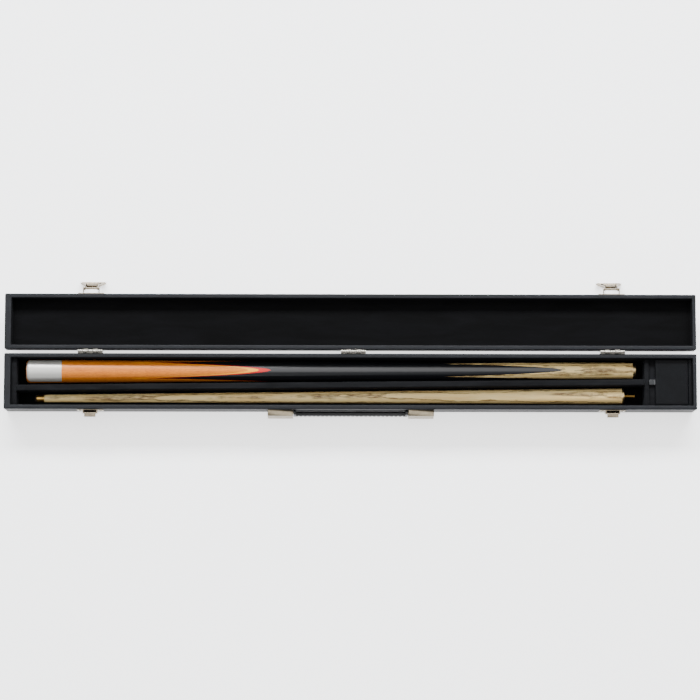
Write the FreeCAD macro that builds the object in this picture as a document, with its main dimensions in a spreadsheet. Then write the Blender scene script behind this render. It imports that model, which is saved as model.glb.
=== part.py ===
import FreeCAD, Part
import os
import re

import Sketcher

# Two-piece cue case, lying open, with a butt and a shaft in its channels.
# Frame: +Z up, +X along the case towards the accessory compartment, -Y towards the handle side.
# The origin is the centre of the base's underside. All lengths are in millimetres.

Vector = FreeCAD.Vector
Rotation = FreeCAD.Rotation
Placement = FreeCAD.Placement
X_AXIS = Vector(1, 0, 0)
Y_AXIS = Vector(0, 1, 0)
Z_AXIS = Vector(0, 0, 1)

doc = FreeCAD.newDocument("CueCase")
sheet = doc.addObject("Spreadsheet::Sheet", "Dims")
nodes = []

DIMENSIONS = {
    # shell
    "case_length": 830,
    "case_width": 67,
    "base_height": 39,
    "lid_height": 18,
    "long_wall": 5,
    "left_wall": 8,
    "right_wall": 4.5,
    "panel": 4,
    # lining
    "floor_felt": 1,
    "wall_felt": 0.6,
    "felt_setback": 0.5,
    # channels and accessory compartment
    "inner_height": 34,
    "end_block": 6.1,
    "divider_thick": 7,
    "divider_left_y": -7.7,
    "divider_right_y": 0,
    "cross_wall_x": 353,
    "cross_wall_thick": 5,
    "ledge_left_end": 368,
    "ledge_right_start": 400,
    "flap_left": 365.6,
    "flap_axis_x": 403.9,
    "flap_thick": 3,
    "flap_side_gap": 0.5,
    "flap_rest_gap": 0.2,
    "flap_edge_gap": 0.2,
    "tab_left": 358.7,
    "tab_width": 6.3,
    "tab_thick": 2.6,
    # hinges
    "hinge_left_x": -312,
    "hinge_centre_x": 3,
    "hinge_right_x": 314,
    "hinge_gap": 5,
    "hinge_rise": 0.2,
    "hinge_width": 30,
    "leaf_thick": 0.8,
    "leaf_drop": 14,
    "leaf_cutback": 2.4,
    "knuckle_pitch": 6,
    "knuckle_gap": 0.2,
    "barrel_radius": 2.1,
    "hinge_pin_radius": 1,
    "running_gap": 0.05,
    "rivet_radius": 1.6,
    "rivet_height": 0.6,
    "leaf_rivet_pitch": 10,
    "leaf_rivet_rise": 5,
    "plate_rivet_spread": 12.8,
    "catch_rivet_spread": 12.2,
    "catch_rivet_inset": 4,
    # latches: u is outward from the shell's face, v is up from the base rim, closed
    "latch_left_x": -312,
    "latch_right_x": 314,
    "latch_plate_width": 32,
    "latch_plate_low": 2,
    "latch_plate_high": 14,
    "latch_plate_thick": 1,
    "pivot_out": 6.8,
    "pivot_down": 5.6,
    "latch_pin_radius": 1.1,
    "ear_inner": 8.7,
    "ear_thick": 1.2,
    "ear_radius": 2.2,
    "link_length": 16.51,
    "link_inner": 7.2,
    "link_thick": 1.2,
    "link_half_depth": 1.5,
    "link_end_radius": 1.9,
    "link_web_start": 2,
    "link_web_length": 6,
    "link_rest_angle": -155,
    "lever_rest_angle": -156,
    "lever_knuckle_radius": 1.8,
    "lever_knuckle_half": 7,
    "lever_neck_half": 6.8,
    "lever_plate_out": 2.4,
    "lever_plate_thick": 1.1,
    "lever_top": 1.8,
    "lever_neck_end": 2,
    "lever_flare_end": 13.5,
    "lever_slot_half": 9.5,
    "lever_slot_low": 9,
    "lever_slot_high": 14,
    "lever_length": 16.5,
    "lever_narrow_half": 8.5,
    "lever_wide_half": 15.5,
    "lever_lip_radius": 1.3,
    "lever_lip_inset": 1.5,
    "nose_reach": 6,
    "nose_thick": 1.5,
    "nose_inset": 0.6,
    "nose_half": 6,
    # catches
    "catch_ear_half": 15.75,
    "catch_half": 8.75,
    "catch_sheet": 1.2,
    "catch_plate_thick": 1,
    "catch_top": 3,
    "catch_bottom": 23,
    "catch_depth": 5.2,
    "catch_slope_start": 8,
    "catch_lip_half": 6.8,
    "catch_lip_out": 9.2,
    "catch_lip_down": 3,
    "catch_foot_rise": 4,
    # carrying handle
    "bracket_inner_x": 69.3,
    "bracket_width": 30.4,
    "bracket_bottom": 12,
    "bracket_top": 34,
    "bracket_depth_top": 7.6,
    "bracket_depth_bottom": 9.4,
    "bracket_sheet": 1.2,
    "bracket_lip_rise": 2.5,
    "bracket_hollow_inset": 0.8,
    "bracket_hollow_rise": 2.8,
    "handle_axis_out": 3.5,
    "handle_axis_z": 29.5,
    "handle_pin_radius": 1.5,
    "handle_half_length": 68.7,
    "grip_bottom": 5.5,
    "grip_top": 15.0,
    "grip_half_depth": 2.9,
    "grip_chamfer": 1.6,
    "arm_length": 3,
    "rib_pitch": 5.2,
    "rib_groove": 1.6,
    "rib_depth": 0.8,
    "rib_count": 25,
    # cue butt
    "butt_end_x": -389.3,
    "butt_length": 733.1,
    "butt_radius": 14.2,
    "joint_radius": 9.5,
    "butt_left_y": 13.3,
    "butt_right_y": 15.8,
    "cue_rest_gap": 0.3,
    "core_start": 10.1,
    "core_slope": 0.0211,
    "red_tip": 292.3,
    "veneer_thick": 0.36,
    "tip_overrun": 6,
    "ash_start": 429.1,
    "ash_tip": 644.1,
    "ash_slope": 0.0163,
    "ring_length": 3.5,
    "ring_radius": 8.6,
    "socket_depth": 16,
    "butt_round": 4,
    "blank_reach": 20,
    "badge_start": 0.8,
    "badge_length": 42.6,
    "badge_thick": 0.4,
    "badge_half_width": 13.1,
    # cue shaft
    "shaft_tip_x": -380.5,
    "shaft_length": 710,
    "tip_length": 2.8,
    "ferrule_length": 9,
    "tip_radius": 4.75,
    "tip_round": 1.6,
    "shaft_recess": 0.05,
    "shaft_left_y": -18.6,
    "shaft_right_y": -15.2,
    "collar_length": 2.5,
    "screw_length": 13.5,
    "screw_round": 0.6,
    "screw_radius": 1.95,
}

for row, (alias, value) in enumerate(DIMENSIONS.items(), start=1):
    sheet.set(f"A{row}", alias)
    sheet.set(f"B{row}", str(value))
    sheet.setAlias(f"B{row}", alias)
doc.recompute()


def expr(text):
    """Point every driving dimension named in an expression at its cell."""
    def cell(match):
        return f"Dims.{match[0]}" if match[0] in DIMENSIONS else match[0]

    return re.sub(r"[a-z]+(?:_[a-z]+)*", cell, str(text))


def value(text):
    """The number that an expression has now."""
    return float(sheet.evalExpression(expr(text)))


def bind(obj, **properties):
    for name, text in properties.items():
        obj.setExpression(name, expr(text))
    return obj


def place(obj, x, y, z):
    for axis, text in (("x", x), ("y", y), ("z", z)):
        obj.setExpression(f"Placement.Base.{axis}", expr(text))
    return obj


def node(obj, label):
    obj.Label = label
    nodes.append(obj)
    return obj


def box(x0, x1, y0, y1, z0, z1):
    """A Part::Box between three pairs of bounds, each an expression."""
    obj = doc.addObject("Part::Box", "Box")
    bind(obj, Length=f"({x1}) - ({x0})", Width=f"({y1}) - ({y0})", Height=f"({z1}) - ({z0})")
    return place(obj, x0, y0, z0)


def rod_x(x0, x1, y, z, radius):
    """A Part::Cylinder along X."""
    obj = doc.addObject("Part::Cylinder", "Rod")
    bind(obj, Radius=radius, Height=f"({x1}) - ({x0})")
    obj.Placement = Placement(Vector(), Rotation(Y_AXIS, 90))
    return place(obj, x0, y, z)


def fuse(*shapes):
    obj = doc.addObject("Part::MultiFuse", "Fuse")
    obj.Shapes = list(shapes)
    obj.Refine = True
    return obj


def common(*shapes):
    obj = doc.addObject("Part::MultiCommon", "Common")
    obj.Shapes = list(shapes)
    return obj


def cut(base, *tools):
    obj = doc.addObject("Part::Cut", "Cut")
    obj.Base = base
    obj.Tool = tools[0] if len(tools) == 1 else fuse(*tools)
    return obj


def group(*shapes):
    """Separate identical pieces kept together in one node."""
    obj = doc.addObject("Part::Compound", "Group")
    obj.Links = list(shapes)
    return obj


def sketch_polygon(body, plane_role, points):
    """A closed sketch whose corners are bound to pairs of expressions."""
    plane = [item for item in body.Origin.OriginFeatures if item.Role == plane_role][0]
    sketch = body.newObject("Sketcher::SketchObject", "Outline")
    sketch.AttachmentSupport = (plane, "")
    sketch.MapMode = "FlatFace"
    spots = [Vector(value(a), value(b), 0) for a, b in points]
    count = len(spots)
    for i in range(count):
        sketch.addGeometry(Part.LineSegment(spots[i], spots[(i + 1) % count]), False)
    for i in range(count):
        sketch.addConstraint(Sketcher.Constraint("Coincident", i, 2, (i + 1) % count, 1))
    for i, (a, b) in enumerate(points):
        for kind, text in (("DistanceX", a), ("DistanceY", b)):
            index = sketch.addConstraint(Sketcher.Constraint(kind, -1, 1, i, 1, value(text)))
            sketch.setExpression(f"Constraints[{index}]", expr(text))
    return sketch


def sketch_circle(body, plane_role, a, b, radius):
    plane = [item for item in body.Origin.OriginFeatures if item.Role == plane_role][0]
    sketch = body.newObject("Sketcher::SketchObject", "Circle")
    sketch.AttachmentSupport = (plane, "")
    sketch.MapMode = "FlatFace"
    sketch.addGeometry(Part.Circle(Vector(value(a), value(b), 0), Vector(0, 0, 1), value(radius)), False)
    for kind, text in (("DistanceX", a), ("DistanceY", b)):
        index = sketch.addConstraint(Sketcher.Constraint(kind, -1, 1, 0, 3, value(text)))
        sketch.setExpression(f"Constraints[{index}]", expr(text))
    index = sketch.addConstraint(Sketcher.Constraint("Radius", 0, value(radius)))
    sketch.setExpression(f"Constraints[{index}]", expr(radius))
    return sketch


def pad(body, sketch, length, symmetric=True):
    feature = body.newObject("PartDesign::Pad", "Pad")
    feature.Profile = sketch
    feature.SideType = "Symmetric" if symmetric else "One side"
    feature.setExpression("Length", expr(length))
    return feature


def pocket(body, sketch, length):
    feature = body.newObject("PartDesign::Pocket", "Pocket")
    feature.Profile = sketch
    feature.SideType = "Symmetric"
    feature.setExpression("Length", expr(length))
    return feature


def new_body(label):
    return node(doc.addObject("PartDesign::Body", "Body"), label)


# Bounds that several parts share, as expressions.
LEFT = "-case_length / 2"
RIGHT = "case_length / 2"
INNER_LEFT = "-case_length / 2 + left_wall"
INNER_RIGHT = "case_length / 2 - right_wall"
FRONT = "-case_width / 2"
BACK = "case_width / 2"
INNER_FRONT = "-case_width / 2 + long_wall"
INNER_BACK = "case_width / 2 - long_wall"
FELT_FRONT = "-case_width / 2 + long_wall + wall_felt"
FELT_BACK = "case_width / 2 - long_wall - wall_felt"
FELT_LEFT = "-case_length / 2 + left_wall + wall_felt"
FELT_RIGHT = "case_length / 2 - right_wall - wall_felt"
FLOOR = "panel + floor_felt"
HINGE_Y = "case_width / 2 + hinge_gap / 2"
HINGE_Z = "base_height + hinge_rise"
LID_NEAR = "case_width / 2 + hinge_gap"
LID_FAR = "case_width * 3 / 2 + hinge_gap"
LID_INNER_NEAR = "case_width / 2 + hinge_gap + long_wall"
LID_INNER_FAR = "case_width * 3 / 2 + hinge_gap - long_wall"
LID_BOTTOM = "base_height - lid_height"


def build_boards():
    """Base: four walls round a floor board. Lid, opened flat: four walls round its panel."""
    rim = "base_height"
    node(box(INNER_LEFT, INNER_RIGHT, INNER_FRONT, INNER_BACK, 0, "panel"), "base_floor_board")
    node(box(LEFT, RIGHT, FRONT, INNER_FRONT, 0, rim), "base_front_board")
    node(box(LEFT, RIGHT, INNER_BACK, BACK, 0, rim), "base_back_board")
    node(box(LEFT, INNER_LEFT, INNER_FRONT, INNER_BACK, 0, rim), "base_left_end_board")
    node(box(INNER_RIGHT, RIGHT, INNER_FRONT, INNER_BACK, 0, rim), "base_right_end_board")
    low = LID_BOTTOM
    panel_top = f"{LID_BOTTOM} + panel"
    node(box(INNER_LEFT, INNER_RIGHT, LID_INNER_NEAR, LID_INNER_FAR, low, panel_top), "lid_top_panel")
    node(box(LEFT, RIGHT, LID_INNER_FAR, LID_FAR, low, rim), "lid_front_board")
    node(box(LEFT, RIGHT, LID_NEAR, LID_INNER_NEAR, low, rim), "lid_back_board")
    node(box(LEFT, INNER_LEFT, LID_INNER_NEAR, LID_INNER_FAR, low, rim), "lid_left_end_board")
    node(box(INNER_RIGHT, RIGHT, LID_INNER_NEAR, LID_INNER_FAR, low, rim), "lid_right_end_board")


def lining(prefix, near, far, panel_top):
    """Velour on a shell's floor and round its walls, stopping just under the rim."""
    felt_top = f"{panel_top} + floor_felt"
    rim = "base_height - felt_setback"
    node(box(INNER_LEFT, INNER_RIGHT, near, far, panel_top, felt_top), f"{prefix}_floor_lining")
    outer = box(INNER_LEFT, INNER_RIGHT, near, far, felt_top, rim)
    hollow = box(FELT_LEFT, FELT_RIGHT, f"{near} + wall_felt", f"{far} - wall_felt", felt_top, rim)
    node(cut(outer, hollow), f"{prefix}_wall_lining")


def build_channels():
    """Felt-covered block, slanted divider and cross wall that make the two cue channels."""
    end_face = f"{FELT_LEFT} + end_block"
    node(box(FELT_LEFT, end_face, FELT_FRONT, FELT_BACK, FLOOR, "inner_height"), "left_end_block")
    cross_end = "cross_wall_x + cross_wall_thick"
    node(box("cross_wall_x", cross_end, FELT_FRONT, FELT_BACK, FLOOR, "inner_height"), "compartment_wall")
    divider = new_body("channel_divider")
    outline = sketch_polygon(divider, "XY_Plane", [
        (end_face, "divider_left_y - divider_thick / 2"),
        ("cross_wall_x", "divider_right_y - divider_thick / 2"),
        ("cross_wall_x", "divider_right_y + divider_thick / 2"),
        (end_face, "divider_left_y + divider_thick / 2"),
    ])
    pad(divider, outline, f"inner_height - ({FLOOR})", symmetric=False)
    divider.setExpression("Placement.Base.z", expr(FLOOR))


def build_compartment():
    """Accessory compartment: two ledges, a fixed strip and the flap hinged beside it."""
    flap_low = "inner_height - flap_thick"
    ledge_top = f"{flap_low} - flap_rest_gap"
    ledge_left = "cross_wall_x + cross_wall_thick"
    left_ledge = box(ledge_left, "ledge_left_end", FELT_FRONT, FELT_BACK, FLOOR, ledge_top)
    node(left_ledge, "compartment_left_ledge")
    right_ledge = box("ledge_right_start", FELT_RIGHT, FELT_FRONT, FELT_BACK, FLOOR, ledge_top)
    node(right_ledge, "compartment_right_ledge")
    strip_left = "flap_axis_x + flap_thick / 2 + flap_edge_gap"
    node(box(strip_left, FELT_RIGHT, FELT_FRONT, FELT_BACK, ledge_top, "inner_height"), "flap_fixed_strip")
    flap = new_body("compartment_flap")
    side = f"({FELT_BACK}) - flap_side_gap"
    outline = sketch_polygon(flap, "XY_Plane", [
        ("flap_left", f"-({side})"),
        ("flap_axis_x", f"-({side})"),
        ("flap_axis_x", side),
        ("flap_left", side),
    ])
    pad(flap, outline, "flap_thick", symmetric=False)
    edge = sketch_circle(flap, "XZ_Plane", "flap_axis_x", "flap_thick / 2", "flap_thick / 2")
    pad(flap, edge, f"2 * ({side})")
    flap.setExpression("Placement.Base.z", expr(flap_low))
    tab_low = "inner_height - tab_thick"
    tab = box("tab_left", "flap_left", "-tab_width / 2", "tab_width / 2", tab_low, "inner_height")
    node(tab, "ribbon_tab")


def hinge_leaf(label, x, face_y, inward, first, count):
    """One leaf of a butt hinge with its knuckles, on a shell's hinge-side face.

    inward is 1 where the leaf's shell lies towards -Y and -1 where it lies towards +Y.
    """
    half = "hinge_width / 2"
    leaf_face = f"{face_y} + {inward} * leaf_thick"
    low_y, high_y = (face_y, leaf_face) if inward > 0 else (leaf_face, face_y)
    bridge_y = (leaf_face, HINGE_Y) if inward > 0 else (HINGE_Y, leaf_face)
    notch = f"{HINGE_Z} - leaf_cutback"
    pieces = [box(f"{x} - {half}", f"{x} + {half}", low_y, high_y, "base_height - leaf_drop", notch)]
    for k in range(first, first + 2 * count, 2):
        start = f"{x} - {half} + {k} * knuckle_pitch + knuckle_gap / 2"
        end = f"{x} - {half} + {k + 1} * knuckle_pitch - knuckle_gap / 2"
        pieces.append(box(start, end, low_y, high_y, notch, HINGE_Z))
        pieces.append(box(start, end, *bridge_y, f"{HINGE_Z} - barrel_radius * 0.6", HINGE_Z))
        pieces.append(rod_x(start, end, HINGE_Y, HINGE_Z, "barrel_radius"))
    bore = rod_x(f"{x} - {half}", f"{x} + {half}", HINGE_Y, HINGE_Z, "hinge_pin_radius + running_gap")
    return node(cut(fuse(*pieces), bore), label)


def build_hinges():
    pins = []
    for side in ("left", "centre", "right"):
        x = f"hinge_{side}_x"
        hinge_leaf(f"hinge_base_leaf_{side}", x, BACK, 1, 0, 3)
        hinge_leaf(f"hinge_lid_leaf_{side}", x, LID_NEAR, -1, 1, 2)
        half = "hinge_width / 2"
        pins.append(rod_x(f"{x} - {half}", f"{x} + {half}", HINGE_Y, HINGE_Z, "hinge_pin_radius"))
    node(group(*pins), "hinge_pins")


def rivet(x, face_y, outward, z):
    """A low domed rivet head standing out of a face towards +Y (outward 1) or -Y (outward -1)."""
    dome = doc.addObject("Part::Cone", "Rivet")
    bind(dome, Radius1="rivet_radius", Radius2="rivet_radius * 0.6", Height="rivet_height")
    dome.Placement = Placement(Vector(), Rotation(X_AXIS, -90 * outward))
    return place(dome, x, face_y, z)


def build_rivets():
    """Rivet heads on the leaves, plates and catches, one group for each shell."""
    base_heads = []
    lid_heads = []
    rivet_z = "base_height - leaf_drop + leaf_rivet_rise"
    for side in ("left", "centre", "right"):
        for step in (-1, 0, 1):
            x = f"hinge_{side}_x + {step} * leaf_rivet_pitch"
            base_heads.append(rivet(x, f"{BACK} + leaf_thick", 1, rivet_z))
            lid_heads.append(rivet(x, f"{LID_NEAR} - leaf_thick", -1, rivet_z))
    for side in ("left", "right"):
        for sign in (-1, 1):
            plate_x = f"latch_{side}_x + {sign} * plate_rivet_spread"
            plate_z = "base_height - (latch_plate_low + latch_plate_high) / 2"
            lid_heads.append(rivet(plate_x, f"{LID_FAR} + latch_plate_thick", 1, plate_z))
            catch_x = f"latch_{side}_x + {sign} * catch_rivet_spread"
            for drop in ("catch_top + catch_rivet_inset", "catch_bottom - catch_rivet_inset"):
                catch_z = f"base_height - ({drop})"
                base_heads.append(rivet(catch_x, f"{FRONT} - catch_plate_thick", -1, catch_z))
    node(group(*base_heads), "base_rivets")
    node(group(*lid_heads), "lid_rivets")


def latch_plate(side):
    """Plate on the lid's front with two ears that carry the link's pivot pin."""
    x = f"latch_{side}_x"
    front = f"{LID_FAR} + latch_plate_thick"
    pivot_y = f"{LID_FAR} + pivot_out"
    pivot_z = "base_height - pivot_down"
    half = "latch_plate_width / 2"
    low = "base_height - latch_plate_high"
    high = "base_height - latch_plate_low"
    pieces = [box(f"{x} - {half}", f"{x} + {half}", LID_FAR, front, low, high)]
    for inner, outer in (("-ear_inner - ear_thick", "-ear_inner"), ("ear_inner", "ear_inner + ear_thick")):
        start, end = f"{x} + ({inner})", f"{x} + ({outer})"
        pieces.append(box(start, end, front, pivot_y, f"{pivot_z} - ear_radius", f"{pivot_z} + ear_radius"))
        pieces.append(rod_x(start, end, pivot_y, pivot_z, "ear_radius"))
    bore = rod_x(f"{x} - {half}", f"{x} + {half}", pivot_y, pivot_z, "latch_pin_radius")
    node(cut(fuse(*pieces), bore), f"latch_plate_{side}")
    reach = "ear_inner + ear_thick"
    return rod_x(f"{x} - ({reach})", f"{x} + ({reach})", pivot_y, pivot_z, "latch_pin_radius")


def latch_link(side):
    """Two cheeks and a cross web, hanging from the plate's pin, and the pin that carries the lever.

    Local frame: origin on the pivot pin, +Z towards the lever's pin, +Y to the front when closed.
    """
    outer = "link_inner + link_thick"
    pieces = []
    for start, end in ((f"-({outer})", "-link_inner"), ("link_inner", outer)):
        pieces.append(box(start, end, "-link_half_depth", "link_half_depth", 0, "link_length"))
        pieces.append(rod_x(start, end, 0, 0, "link_end_radius"))
        pieces.append(rod_x(start, end, 0, "link_length", "link_end_radius"))
    web_low = "link_half_depth - 1"
    web_end = "link_web_start + link_web_length"
    pieces.append(box("-link_inner", "link_inner", web_low, "link_half_depth", "link_web_start", web_end))
    pivot_bore = rod_x(f"-({outer})", outer, 0, 0, "latch_pin_radius + running_gap")
    lever_bore = rod_x(f"-({outer})", outer, 0, "link_length", "latch_pin_radius")
    link = node(cut(fuse(*pieces), pivot_bore, lever_bore), f"latch_link_{side}")
    pin_rod = rod_x(f"-({outer})", outer, 0, "link_length", "latch_pin_radius")
    pin = node(group(pin_rod), f"latch_link_pin_{side}")
    pivot_y = value(f"{LID_FAR} + pivot_out")
    pivot = Vector(value(f"latch_{side}_x"), pivot_y, value("base_height - pivot_down"))
    swing = Placement(pivot, Rotation(X_AXIS, value("link_rest_angle")))
    link.Placement = swing
    pin.Placement = swing
    return swing.multVec(Vector(0, 0, value("link_length")))


def latch_lever(side, pivot):
    """Fan-shaped lever: knuckle, nose that hooks under the catch's lip, slotted plate and rolled end.

    Local frame: origin on its pin, +Z towards the thumb end, +Y to the front when closed.
    """
    plate = doc.addObject("PartDesign::Body", "Body")
    outline = sketch_polygon(plate, "XZ_Plane", [
        ("-lever_neck_half", "-lever_top"),
        ("lever_neck_half", "-lever_top"),
        ("lever_neck_half", "lever_neck_end"),
        ("lever_narrow_half", "lever_neck_end"),
        ("lever_wide_half", "lever_flare_end"),
        ("lever_wide_half", "lever_length"),
        ("-lever_wide_half", "lever_length"),
        ("-lever_wide_half", "lever_flare_end"),
        ("-lever_narrow_half", "lever_neck_end"),
        ("-lever_neck_half", "lever_neck_end"),
    ])
    pad(plate, outline, "lever_plate_thick")
    slot = sketch_polygon(plate, "XZ_Plane", [
        ("-lever_slot_half", "lever_slot_low"),
        ("lever_slot_half", "lever_slot_low"),
        ("lever_slot_half", "lever_slot_high"),
        ("-lever_slot_half", "lever_slot_high"),
    ])
    pocket(plate, slot, "2 * lever_plate_thick")
    plate.setExpression("Placement.Base.y", expr("lever_plate_out + lever_plate_thick / 2"))
    back = "lever_plate_out + lever_plate_thick"
    neck = box("-lever_neck_half", "lever_neck_half", 0, back, "-lever_top", "lever_neck_end")
    knuckle = rod_x("-lever_knuckle_half", "lever_knuckle_half", 0, 0, "lever_knuckle_radius")
    nose = box("-nose_half", "nose_half", "-nose_inset", "nose_thick - nose_inset", "-nose_reach", 0)
    lip_y = "lever_plate_out + lever_plate_thick * 0.7"
    lip_half = "lever_wide_half - lever_lip_inset"
    lip = rod_x(f"-({lip_half})", lip_half, lip_y, "lever_length", "lever_lip_radius")
    bore = rod_x("-lever_knuckle_half", "lever_knuckle_half", 0, 0, "latch_pin_radius + running_gap")
    lever = node(cut(fuse(plate, neck, knuckle, nose, lip), bore), f"latch_lever_{side}")
    lever.Placement = Placement(pivot, Rotation(X_AXIS, value("lever_rest_angle")))


def latch_catch(side):
    """Catch on the base's front: eared plate, hollow hood and the lip that the lever's nose hooks."""
    catch = new_body(f"latch_catch_{side}")
    ears = sketch_polygon(catch, "YZ_Plane", [
        (FRONT, "base_height - catch_bottom"),
        (FRONT, "base_height - catch_top"),
        (f"{FRONT} - catch_plate_thick", "base_height - catch_top"),
        (f"{FRONT} - catch_plate_thick", "base_height - catch_bottom"),
    ])
    pad(catch, ears, "2 * catch_ear_half")
    plate_front = f"{FRONT} - catch_plate_thick"
    hood_front = f"{FRONT} - catch_depth"
    hood = sketch_polygon(catch, "YZ_Plane", [
        (plate_front, "base_height - catch_top"),
        (hood_front, "base_height - catch_top"),
        (hood_front, "base_height - catch_slope_start"),
        (plate_front, "base_height - catch_bottom"),
    ])
    pad(catch, hood, "2 * catch_half")
    hollow = sketch_polygon(catch, "YZ_Plane", [
        (plate_front, "base_height"),
        (f"{hood_front} + catch_sheet", "base_height"),
        (f"{hood_front} + catch_sheet", "base_height - catch_slope_start"),
        (plate_front, "base_height - catch_bottom + catch_foot_rise"),
    ])
    pocket(catch, hollow, "2 * (catch_half - catch_sheet)")
    lip_front = f"{FRONT} - catch_lip_out"
    lip = sketch_polygon(catch, "YZ_Plane", [
        (f"{hood_front} + catch_sheet", "base_height - catch_top"),
        (lip_front, "base_height - catch_top"),
        (lip_front, "base_height - catch_top - catch_lip_down"),
        (f"{lip_front} + 1", "base_height - catch_top - catch_lip_down"),
        (f"{lip_front} + 1", "base_height - catch_top - catch_sheet"),
        (f"{hood_front} + catch_sheet", "base_height - catch_top - catch_sheet"),
    ])
    pad(catch, lip, "2 * catch_lip_half")
    catch.setExpression("Placement.Base.x", expr(f"latch_{side}_x"))


def build_latches():
    pins = []
    for side in ("left", "right"):
        pins.append(latch_plate(side))
        latch_lever(side, latch_link(side))
        latch_catch(side)
    node(group(*pins), "latch_plate_pins")


def handle_bracket(side, sign):
    """Pressed bracket on the base's front, open at the back, with the handle's bore in its inner cheek."""
    shell = doc.addObject("PartDesign::Body", "Body")
    outline = sketch_polygon(shell, "YZ_Plane", [
        (FRONT, "bracket_bottom"),
        (f"{FRONT} - bracket_depth_bottom + 1", "bracket_bottom"),
        (f"{FRONT} - bracket_depth_bottom", "bracket_bottom + bracket_lip_rise"),
        (f"{FRONT} - bracket_depth_top", "bracket_top"),
        (FRONT, "bracket_top"),
    ])
    pad(shell, outline, "bracket_width")
    hollow = sketch_polygon(shell, "YZ_Plane", [
        (FRONT, "bracket_bottom + bracket_sheet"),
        (
            f"{FRONT} - bracket_depth_bottom + bracket_sheet + bracket_hollow_inset",
            "bracket_bottom + bracket_sheet",
        ),
        (f"{FRONT} - bracket_depth_bottom + bracket_sheet", "bracket_bottom + bracket_hollow_rise"),
        (f"{FRONT} - bracket_depth_top + bracket_sheet", "bracket_top - bracket_sheet"),
        (FRONT, "bracket_top - bracket_sheet"),
    ])
    pocket(shell, hollow, "bracket_width - 2 * bracket_sheet")
    shell.setExpression("Placement.Base.x", expr(f"{sign} * (bracket_inner_x + bracket_width / 2)"))
    reach = "bracket_inner_x + bracket_sheet + 1"
    start, end = ("bracket_inner_x - 1", reach) if sign > 0 else (f"-({reach})", "1 - bracket_inner_x")
    bore_radius = "handle_pin_radius + running_gap"
    bore = rod_x(start, end, f"{FRONT} - handle_axis_out", "handle_axis_z", bore_radius)
    node(cut(shell, bore), f"handle_bracket_{side}")


def build_handle():
    """Ribbed grip with an arm at each end, turning on two short pins in the brackets."""
    axis_y = f"{FRONT} - handle_axis_out"
    front = f"{axis_y} - grip_half_depth"
    back = f"{axis_y} + grip_half_depth"
    grip = doc.addObject("PartDesign::Body", "Body")
    outline = sketch_polygon(grip, "YZ_Plane", [
        (f"{front} + grip_chamfer", "grip_bottom"),
        (f"{back} - grip_chamfer", "grip_bottom"),
        (back, "grip_bottom + grip_chamfer"),
        (back, "grip_top - grip_chamfer"),
        (f"{back} - grip_chamfer", "grip_top"),
        (f"{front} + grip_chamfer", "grip_top"),
        (front, "grip_top - grip_chamfer"),
        (front, "grip_bottom + grip_chamfer"),
    ])
    pad(grip, outline, "2 * handle_half_length")
    first = "-rib_pitch * (rib_count - 1) / 2"
    groove = sketch_polygon(grip, "XY_Plane", [
        (f"{first} - rib_groove / 2", f"{front} - 1"),
        (f"{first} + rib_groove / 2", f"{front} - 1"),
        (f"{first} + rib_groove / 2", f"{front} + rib_depth"),
        (f"{first} - rib_groove / 2", f"{front} + rib_depth"),
    ])
    cut_groove = pocket(grip, groove, "4 * grip_top")
    ribs = grip.newObject("PartDesign::LinearPattern", "Ribs")
    ribs.Originals = [cut_groove]
    ribs.Direction = (groove, ["H_Axis"])
    ribs.setExpression("Length", expr("rib_pitch * (rib_count - 1)"))
    ribs.setExpression("Occurrences", expr("rib_count"))
    grip.Tip = ribs
    pieces = [grip]
    bores = []
    pins = []
    arm_start = "handle_half_length - arm_length"
    pin_end = "bracket_inner_x + bracket_sheet + 2"
    for sign in (-1, 1):
        spans = [(arm_start, "handle_half_length"), (arm_start, pin_end)]
        if sign < 0:
            spans = [(f"-({end})", f"-({start})") for start, end in spans]
        arm, pin = spans
        pieces.append(box(*arm, front, back, "grip_top - 2", "handle_axis_z"))
        pieces.append(rod_x(*arm, axis_y, "handle_axis_z", "grip_half_depth"))
        bores.append(rod_x(*arm, axis_y, "handle_axis_z", "handle_pin_radius"))
        pins.append(rod_x(*pin, axis_y, "handle_axis_z", "handle_pin_radius"))
    node(cut(fuse(*pieces), *bores), "handle_grip")
    node(group(*pins), "handle_pivot_pins")


def cone(z0, z1, radius0, radius1, start=0, sweep=360):
    obj = doc.addObject("Part::Cone", "Cone")
    bind(obj, Radius1=radius0, Radius2=radius1, Height=f"({z1}) - ({z0})", Angle=sweep)
    obj.Placement = Placement(Vector(), Rotation(Z_AXIS, start))
    return place(obj, 0, 0, z0)


def quartered_cone(z0, z1, radius0, radius1):
    """A cone whose face is divided along the middle of each of the splice's four points."""
    whole = fuse(*[cone(z0, z1, radius0, radius1, turn, 90) for turn in (0, 90, 180, 270)])
    whole.Refine = False
    return whole


def rod_z(z0, z1, radius):
    obj = doc.addObject("Part::Cylinder", "Rod")
    bind(obj, Radius=radius, Height=f"({z1}) - ({z0})")
    return place(obj, 0, 0, z0)


def square_taper(z0, z1, half0, half1):
    """A square frustum about the cue's axis, from half-width half0 at z0 to half1 at z1."""
    obj = doc.addObject("Part::Wedge", "Taper")
    bind(obj, Xmin=f"-({half0})", Xmax=half0, Zmin=f"-({half0})", Zmax=half0)
    bind(obj, X2min=f"-({half1})", X2max=half1, Z2min=f"-({half1})", Z2max=half1)
    bind(obj, Ymin=0, Ymax=f"({z1}) - ({z0})")
    obj.Placement = Placement(Vector(), Rotation(X_AXIS, 90))
    return place(obj, 0, 0, z0)


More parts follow.
